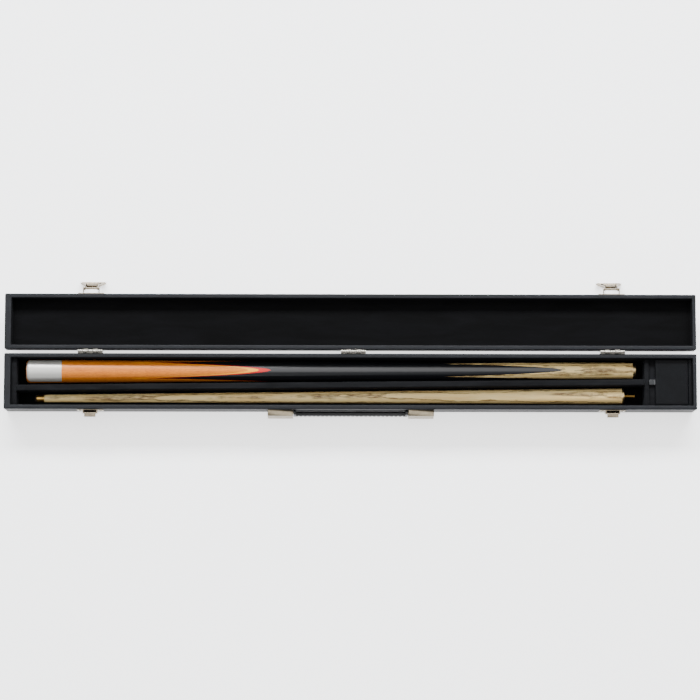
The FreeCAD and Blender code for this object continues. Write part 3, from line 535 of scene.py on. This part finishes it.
def ribbon_loop():
    """A folded ribbon pull: one strip out from under the flap, round a soft bend and back."""
    low, high = mm_box("ribbon_tab")
    thick = 0.55
    half = thick / 2
    upper_sag, lower_sag = 0.25, 0.3
    edge_pinch = 0.75
    steps = 8
    mid_z = (low.z + high.z) / 2
    radius = (high.z - low.z) / 2 - half
    path = [(high.x, high.z - half - upper_sag), (high.x - 2.0, high.z - half)]
    path += arc(low.x + radius + half, mid_z, radius, 90, 270, 10)
    path += [(high.x - 2.5, low.z + half), (high.x, low.z + half + lower_sag)]
    loops = []
    for i, (x, z) in enumerate(path):
        ax, az = path[max(0, i - 1)]
        bx, bz = path[min(len(path) - 1, i + 1)]
        nx, nz = -(bz - az), bx - ax
        size = math.hypot(nx, nz)
        nx, nz = nx / size * half, nz / size * half
        row = []
        for side, order in ((1, range(steps + 1)), (-1, range(steps, -1, -1))):
            for k in order:
                pinch = edge_pinch if k in (0, steps) else 1.0
                y = low.y + (high.y - low.y) * k / steps
                row.append((x + side * nx * pinch, y, z + side * nz * pinch))
        loops.append(row)
    vertices, faces = skin(loops)
    mesh_piece("ribbon_tab_loop", vertices, faces, RIBBON, "compartment_flap", ("ribbon_tab",))


# ---------------------------------------------------------------- cue
class Axis:
    """The line of a cue part, from its start to its end in millimetres, with 'up' turned towards +Z."""

    def __init__(self, start, end):
        self.start = start
        self.length = (end - start).length
        self.along = (end - start).normalized()
        up = Vector((0, 0, 1))
        self.up = (up - self.along * up.dot(self.along)).normalized()
        self.side = self.along.cross(self.up)

    def point(self, s, radius, angle):
        """The point at a distance along, a radius and an angle in radians from straight up."""
        outward = self.up * math.cos(angle) + self.side * math.sin(angle)
        return self.start + self.along * s + outward * radius


def turned(name, axis, profile, material, body, replaces, segments=72, ripple=None):
    """A turned piece from (distance along, radius) pairs. ripple(s, angle) adds to the radius."""
    least_radius = 0.001
    loops = []
    for s, radius in profile:
        loop = []
        for k in range(segments):
            angle = 2 * math.pi * k / segments
            extra = ripple(s, angle) if ripple else 0.0
            loop.append(tuple(axis.point(s, max(radius + extra, least_radius), angle)))
        loops.append(loop)
    vertices, faces = skin(loops)
    piece = mesh_piece(name, vertices, faces, material, body, replaces)
    sharpen(piece, 35)


def groove(start, radius, slope, flat, depth):
    """Profile points of a shallow groove round a turned piece."""
    return [(start, radius), (start + slope, radius - depth),
            (start + slope + flat, radius - depth), (start + 2 * slope + flat, radius)]


def cue_butt():
    """The butt's spliced surface, cut where two woods meet, with its joint ring and its badge.

    The flats between the woods run nearly along the cue, so each wood comes to a point where its flat
    leaves the cone. s is the distance along the butt from its round end.
    """
    low, high = mm_box("butt_splice")
    ring_low, ring_high = mm_box("butt_joint_ring")
    collar_low, collar_high = mm_box("shaft_collar")
    centre, ring_centre = (low + high) / 2, (ring_low + ring_high) / 2
    big, small = (high.z - low.z) / 2, (collar_high.z - collar_low.z) / 2
    axis = Axis(Vector((low.x, centre.y, centre.z)), Vector((ring_high.x, ring_centre.y, ring_centre.z)))
    ring_length = 3.5
    wood = axis.length - ring_length
    round_off = 4.0
    red_tip, core_slope, veneer = 292.3, 0.0211, 0.36
    ash_start, ash_tip, ash_slope = 429.1, 644.1, 0.0163
    splices_apart = 420
    quarter = math.pi / 4
    least_radius = 0.002

    def cone(s):
        return big - (big - small) * s / axis.length

    def radius(s):
        if s < round_off:
            return cone(s) - round_off + math.sqrt(max(0.0, round_off ** 2 - (round_off - s) ** 2))
        return cone(s)

    def opening(s, half):
        """Half the angle over which the round wood stands outside a flat at this distance from the axis."""
        return math.acos(min(1.0, max(half / cone(s), math.cos(quarter))))

    def splice_edges(s):
        """The angles from a splice's middle at which its orange, yellow and red layers end."""
        if s > red_tip:
            return 0.0, 0.0, 0.0
        half = cone(red_tip) - core_slope * (red_tip - s)
        return opening(s, half + 2 * veneer), opening(s, half + veneer), opening(s, half)

    def ash_edge(s):
        """The angle from a splice's middle at which the black wood ends and the ash begins."""
        if s <= ash_start:
            return quarter
        return opening(s, cone(ash_tip) - ash_slope * (ash_tip - s)) if s < ash_tip else 0.0

    # Rings of points are closest over the rounded end, and close where a wood comes to its point.
    coarse, fine = 3.2, 1.6
    fine_spans = ((150, 300), (560, 650))
    shortest = 0.5
    rings = [0.0, 0.12, 0.4, 0.9, 1.6, 2.6]
    s = round_off
    while s < wood - shortest:
        rings.append(s)
        s += fine if any(first < s < last for first, last in fine_spans) else coarse
    rings.append(wood)
    lanes = {"orange": [], "yellow": [], "red": [], "black": [], "ash": []}
    vertices, index = [], {}

    def vertex(s, angle):
        key = (round(s, 4), round(angle % (2 * math.pi), 6))
        if key not in index:
            index[key] = len(vertices)
            vertices.append(tuple(axis.point(s, max(radius(s), least_radius), angle)))
        return index[key]

    def lane(name, s0, s1, a0, a1, b0, b1, steps):
        """Quads between angles a0 to a1 at s0 and b0 to b1 at s1."""
        no_width = 1e-7
        if abs(a1 - a0) < no_width and abs(b1 - b0) < no_width:
            return
        for k in range(steps):
            u, v = k / steps, (k + 1) / steps
            quad = [vertex(s0, a0 + (a1 - a0) * u), vertex(s0, a0 + (a1 - a0) * v),
                    vertex(s1, b0 + (b1 - b0) * v), vertex(s1, b0 + (b1 - b0) * u)]
            quad = [q for i, q in enumerate(quad) if q not in quad[:i]]
            if len(quad) > 2:
                lanes[name].append(quad)

    wood_steps, veneer_steps = 6, 2
    for s0, s1 in zip(rings, rings[1:]):
        if s1 < splices_apart:
            (orange0, yellow0, red0), (orange1, yellow1, red1) = splice_edges(s0), splice_edges(s1)
            parts = [("orange", (0.0, orange0), (0.0, orange1), wood_steps),
                     ("yellow", (orange0, yellow0), (orange1, yellow1), veneer_steps),
                     ("red", (yellow0, red0), (yellow1, red1), veneer_steps),
                     ("black", (red0, quarter), (red1, quarter), wood_steps)]
        else:
            ash0, ash1 = ash_edge(s0), ash_edge(s1)
            parts = [("black", (0.0, ash0), (0.0, ash1), wood_steps),
                     ("ash", (ash0, quarter), (ash1, quarter), wood_steps)]
        for turn in range(4):
            middle = turn * math.pi / 2
            for sign in (-1, 1):
                for name, (a0, a1), (b0, b1), steps in parts:
                    lane(name, s0, s1, middle + sign * a0, middle + sign * a1,
                         middle + sign * b0, middle + sign * b1, steps)
    around = 8 * wood_steps
    lanes["orange"].append([vertex(rings[0], 2 * math.pi * k / around) for k in range(around)])
    finish = {
        "orange": (ORANGE_WOOD, "orange_wood", "butt_splice"),
        "yellow": (YELLOW, "yellow_veneer", "butt_veneer_yellow"),
        "red": (RED, "red_veneer", "butt_veneer_red"),
        "black": (BLACK_WOOD, "black_wood", "butt_handle"),
        "ash": (ASH, "ash_wood", "butt_forearm"),
    }
    for name, (material, slot, node) in finish.items():
        used = sorted({v for face in lanes[name] for v in face})
        renumber = {v: i for i, v in enumerate(used)}
        faces = [[renumber[v] for v in face] for face in lanes[name]]
        points = [vertices[v] for v in used]
        piece = mesh_piece(f"{node}_surface", points, faces, material, "cue_butt", (node,))
        set_cone_normals(piece, axis, (big - small) / axis.length, round_off)

    # The ring has a groove near the wood, a softened front edge and a countersunk socket.
    ring_radius = (ring_high.z - ring_low.z) / 2
    front = wood + ring_length
    socket_mouth, socket_neck, socket = 2.6, 2.2, 2.05
    profile = [(wood, cone(wood)), (wood, ring_radius - 0.02), (wood + 0.12, ring_radius)]
    profile += groove(wood + 0.9, ring_radius, slope=0.1, flat=0.15, depth=0.12)
    profile += [(front - 0.5, ring_radius), (front - 0.15, ring_radius - 0.12), (front, ring_radius - 0.5)]
    profile += [(front, socket_mouth), (front - 0.3, socket_neck), (front - 3.3, socket)]
    turned("butt_joint_ring_turned", axis, profile, PALE_BRASS, "cue_butt",
           ("butt_joint_ring",))
    badge_plate(axis, radius)


def set_cone_normals(piece, axis, slope, start):
    """Shades a cut-up cone as the smooth cone that it is. Points before start keep their own shading."""
    keep_own = (0, 0, 0)
    mesh = piece.data
    lean = axis.along * slope
    normals = []
    for vertex in mesh.vertices:
        offset = vertex.co / MM - axis.start
        s = offset.dot(axis.along)
        radial = offset - axis.along * s
        on_cone = s > start + 0.01 and radial.length > 1
        normals.append(tuple((radial.normalized() + lean).normalized()) if on_cone else keep_own)
    mesh.normals_split_custom_set_from_vertices(normals)


def badge_plate(axis, radius):
    """A thin blank plate let over the crown of the butt's end, rounded at the end and square at the front."""
    start, end, half = 0.8, 42.6, 13.1
    thick = 0.38
    end_corner, front_corner = 5.5, 0.9
    sharpest_corner = 0.05
    corner_steps, side_steps = 10, 12
    wrap_height, widest = 0.3, 0.98

    def between(a, b):
        fractions = [k / side_steps for k in range(1, side_steps)]
        return [(a[0] + (b[0] - a[0]) * f, a[1] + (b[1] - a[1]) * f) for f in fractions]

    def outline(inset):
        x0, x1, y0, y1 = start + inset, end - inset, -half + inset, half - inset
        loop = []
        for cx, cy, corner, turn in ((x0, y0, end_corner, 180), (x1, y0, front_corner, 270),
                                     (x1, y1, front_corner, 0), (x0, y1, end_corner, 90)):
            r = max(corner - inset, sharpest_corner)
            px, py = cx + (r if cx == x0 else -r), cy + (r if cy == y0 else -r)
            bend = arc(px, py, r, turn, turn + 90, corner_steps)
            if loop:
                loop += between(loop[-1], bend[0])
            loop += bend
        return loop + between(loop[-1], loop[0])

    # Pairs of inset and height: up the rim, over its softened edge and in across the face.
    levels = [(0.0, 0.02), (0.0, thick - 0.14), (0.06, thick - 0.04), (0.16, thick), (0.9, thick)]
    levels += [(inset, thick) for inset in (1.4, 2.0, 2.8, 3.8, 5.0, 6.5, 8.0, 9.5, 11.0, 12.2, 12.9)]
    loops = []
    for inset, height in levels:
        loop = []
        for s, w in outline(inset):
            r = radius(s)
            angle = math.asin(max(-widest, min(widest, w / (r + wrap_height))))
            loop.append(tuple(axis.point(s, r + height, angle)))
        loops.append(loop)
    vertices, faces = skin(loops, (False, True))
    piece = mesh_piece("butt_badge_plate", vertices, faces, BADGE, "cue_butt", ("butt_badge",))
    sharpen(piece, 40)


def cue_shaft():
    """The shaft from its tip to its screw. Each profile is a list of (distance from the tip, radius)."""
    tip_low, tip_high = mm_box("shaft_tip")
    end_low, end_high = mm_box("shaft_collar")
    screw_high = mm_box("shaft_screw")[1]
    thin, thick = (tip_high.z - tip_low.z) / 2, (end_high.z - end_low.z) / 2
    tip_mid, end_mid = (tip_low + tip_high) / 2, (end_low + end_high) / 2
    axis = Axis(Vector((tip_low.x, tip_mid.y, tip_mid.z)), Vector((end_high.x, end_mid.y, end_mid.z)))
    tip_length, ferrule_length, collar_length = 2.8, 9.0, 2.5
    core = 0.5
    wood_start, wood_end = tip_length + ferrule_length, axis.length - collar_length

    dome = [(0.02, 0.3), (0.05, 1.2), (0.2, 2.3), (0.5, 3.2), (0.95, 3.95), (1.5, 4.4), (2.0, 4.6),
            (tip_length, 4.62)]
    turned("shaft_tip_dome", axis, dome, TIP, "cue_shaft", ("shaft_tip",))

    sleeve = [(tip_length, core), (tip_length, thin - 0.15), (tip_length + 0.15, thin)]
    sleeve += groove(tip_length + 6.8, thin, slope=0.15, flat=0.2, depth=0.1)
    sleeve += [(wood_start - 0.1, thin), (wood_start, thin - 0.1), (wood_start, core)]
    turned("shaft_ferrule_sleeve", axis, sleeve, BRASS, "cue_shaft", ("shaft_ferrule",))

    wood_steps = 160
    below_collar = 0.04
    wood = [(wood_start, core), (wood_start, thin - 0.06)]
    wood += [(wood_start + (wood_end - wood_start) * i / wood_steps,
              thin + (thick - below_collar - thin) * i / wood_steps) for i in range(wood_steps + 1)]
    wood += [(wood_end, core)]
    turned("shaft_wood_turned", axis, wood, ASH, "cue_shaft", ("shaft_wood",))

    collar_end = wood_end + collar_length
    collar = [(wood_end, core), (wood_end, thick - 0.1), (wood_end + 0.12, thick), (wood_end + 1.7, thick),
              (wood_end + 2.2, thick - 0.12), (collar_end, thick - 0.5), (collar_end, 2.6)]
    turned("shaft_collar_turned", axis, collar, PALE_BRASS, "cue_shaft", ("shaft_collar",))

    reach = screw_high.x - end_high.x
    screw_start, screw_end = axis.length, axis.length + reach
    screw_radius, screw_steps = 1.93, 110
    pitch, depth, steepness = 1.25, 0.34, 2.4
    plain_start, plain_end = 1.2, 0.9

    def thread(s, angle):
        if s < screw_start + plain_start or s > screw_end - plain_end:
            return 0.0
        phase = ((s - screw_start) / pitch - angle / (2 * math.pi)) % 1.0
        return -depth * min(1.0, abs(phase - 0.5) * steepness)

    screw = [(screw_start, 0.4), (screw_start, 1.9)]
    screw += [(screw_start + 0.05 + (reach - 0.75) * i / screw_steps, screw_radius)
              for i in range(screw_steps + 1)]
    screw += [(screw_end - 0.45, 1.7), (screw_end - 0.15, 1.35), (screw_end - 0.02, 0.8)]
    turned("shaft_screw_thread", axis, screw, BRASS, "cue_shaft", ("shaft_screw",),
           segments=40, ripple=thread)


# ---------------------------------------------------------------- carried-over metal and plastic
def finish_node(node, material, width, segments=3):
    """Gives a CAD part its material, and softens its edges with modifiers only."""
    merge_distance = 0.002
    sharp_angle = 32
    part = nodes[node]
    part.data.materials.clear()
    part.data.materials.append(material)
    weld = part.modifiers.new("Weld", "WELD")
    weld.merge_threshold = merge_distance * MM
    bevel = part.modifiers.new("Bevel", "BEVEL")
    bevel.width = width * MM
    bevel.segments = segments
    bevel.limit_method = "ANGLE"
    bevel.angle_limit = math.radians(sharp_angle)
    bevel.harden_normals = True
    for polygon in part.data.polygons:
        polygon.use_smooth = True


def hardware():
    for node in nodes:
        if node.startswith("hinge_") or node.endswith("_rivets"):
            finish_node(node, NICKEL_HINGE, width=0.14, segments=2)
        elif node.startswith("latch_"):
            finish_node(node, NICKEL, width=0.22)
        elif node.startswith("handle_bracket"):
            finish_node(node, NICKEL_BRACKET, width=0.4)
        elif node == "handle_pivot_pins":
            finish_node(node, NICKEL_BRACKET, width=0.2)
        elif node == "handle_grip":
            finish_node(node, GRIP, width=0.32)


# ---------------------------------------------------------------- stage
def area_light(name, place, size, power, colour=(1, 1, 1)):
    """A rectangular light aimed at the middle of the case. Places and sizes are in metres."""
    case_middle = Vector((0, 0.03, 0))
    data = bpy.data.lights.new(name, "AREA")
    data.shape = "RECTANGLE"
    data.size, data.size_y = size
    data.energy = power
    data.color = colour
    light = bpy.data.objects.new(name, data)
    light.location = place
    light.rotation_mode = "QUATERNION"
    light.rotation_quaternion = (case_middle - Vector(place)).to_track_quat("-Z", "Y")
    light.visible_camera = False
    bpy.context.scene.collection.objects.link(light)


def ground():
    """A pale floor that glows a little, just below the case so that the two faces never coincide."""
    s = Shader("studio_floor")
    cloud = s.noise(s.object, 0.004, detail=4.0, rough=0.6)
    grain = s.noise(s.object, 0.6, detail=3.0, rough=0.7)
    pale = s.mix(s.ramp(cloud, (0.3, 0.0), (0.7, 1.0)), (0.92, 0.92, 0.92), (0.89, 0.89, 0.89))
    s.set(Base_Color=pale, Roughness=0.85)
    s.set(Emission_Color=(1.0, 1.0, 1.0), Emission_Strength=1.6)
    s.bump(grain, 0.05)
    mesh = bpy.data.meshes.new("floor")
    size = 9.0
    below = -0.3 * MM
    corners = [(-size, -size, below), (size, -size, below), (size, size, below), (-size, size, below)]
    mesh.from_pydata(corners, [], [(0, 1, 2, 3)])
    mesh.materials.append(s.mat)
    floor = bpy.data.objects.new("floor", mesh)
    bpy.context.scene.collection.objects.link(floor)


def sky():
    """Soft surrounding light, brighter and cooler towards the back of the case."""
    world = bpy.data.worlds.new("studio")
    world.use_nodes = True
    tree = world.node_tree
    background = tree.nodes["Background"]
    coords = tree.nodes.new("ShaderNodeTexCoord")
    split = tree.nodes.new("ShaderNodeSeparateXYZ")
    tree.links.new(coords.outputs["Generated"], split.inputs[0])
    ramp = tree.nodes.new("ShaderNodeValToRGB")
    tree.links.new(split.outputs["Y"], ramp.inputs["Fac"])
    dim, bright = ramp.color_ramp.elements
    dim.position = 0.0
    dim.color = (0.42, 0.42, 0.43, 1)
    bright.position = 0.9
    bright.color = (0.95, 0.97, 1.0, 1)
    tree.links.new(ramp.outputs["Color"], background.inputs["Color"])
    background.inputs["Strength"].default_value = 0.8
    bpy.context.scene.world = world


def studio():
    ground()
    sky()
    area_light("key", (0.0, 2.7, 2.15), size=(4.6, 0.75), power=380, colour=(0.94, 0.97, 1.0))
    area_light("overhead", (-0.3, 0.9, 4.6), size=(6.0, 4.6), power=190)
    area_light("fill", (0.0, -2.8, 1.4), size=(4.0, 1.2), power=22, colour=(0.93, 0.96, 1.0))


def camera():
    """A long lens far above the case, leaning and rolled a few degrees. Its clipping is in metres."""
    yaw, lift, roll = math.radians(-6.52), math.radians(83.43), math.radians(6.58)
    target = Vector((-1.1, 37.7, 39.0)) * MM
    distance = 3.217
    sensor, lens = 36.0, 138.03429
    back = Vector((math.sin(yaw) * math.cos(lift), -math.cos(yaw) * math.cos(lift), math.sin(lift)))
    right = (-back).cross(Vector((0, 0, 1))).normalized()
    up = right.cross(-back)
    turned_right = right * math.cos(roll) + up * math.sin(roll)
    turned_up = up * math.cos(roll) - right * math.sin(roll)
    data = bpy.data.cameras.new("camera")
    data.sensor_width = sensor
    data.lens = lens
    data.clip_start, data.clip_end = 0.1, 50.0
    cam = bpy.data.objects.new("camera", data)
    turn = Matrix((turned_right, turned_up, back)).transposed()
    cam.matrix_world = Matrix.Translation(target + back * distance) @ turn.to_4x4()
    bpy.context.scene.collection.objects.link(cam)
    bpy.context.scene.camera = cam


camera()
studio()
shell_cover("base_leatherette", "base", "base_floor_board", "base")
shell_cover("lid_leatherette", "lid", "lid_top_panel", "lid")
lining("base_velour", "base", "base")
lining("lid_velour", "lid", "lid")
compartment()
ribbon_loop()
cue_butt()
cue_shaft()
hardware()
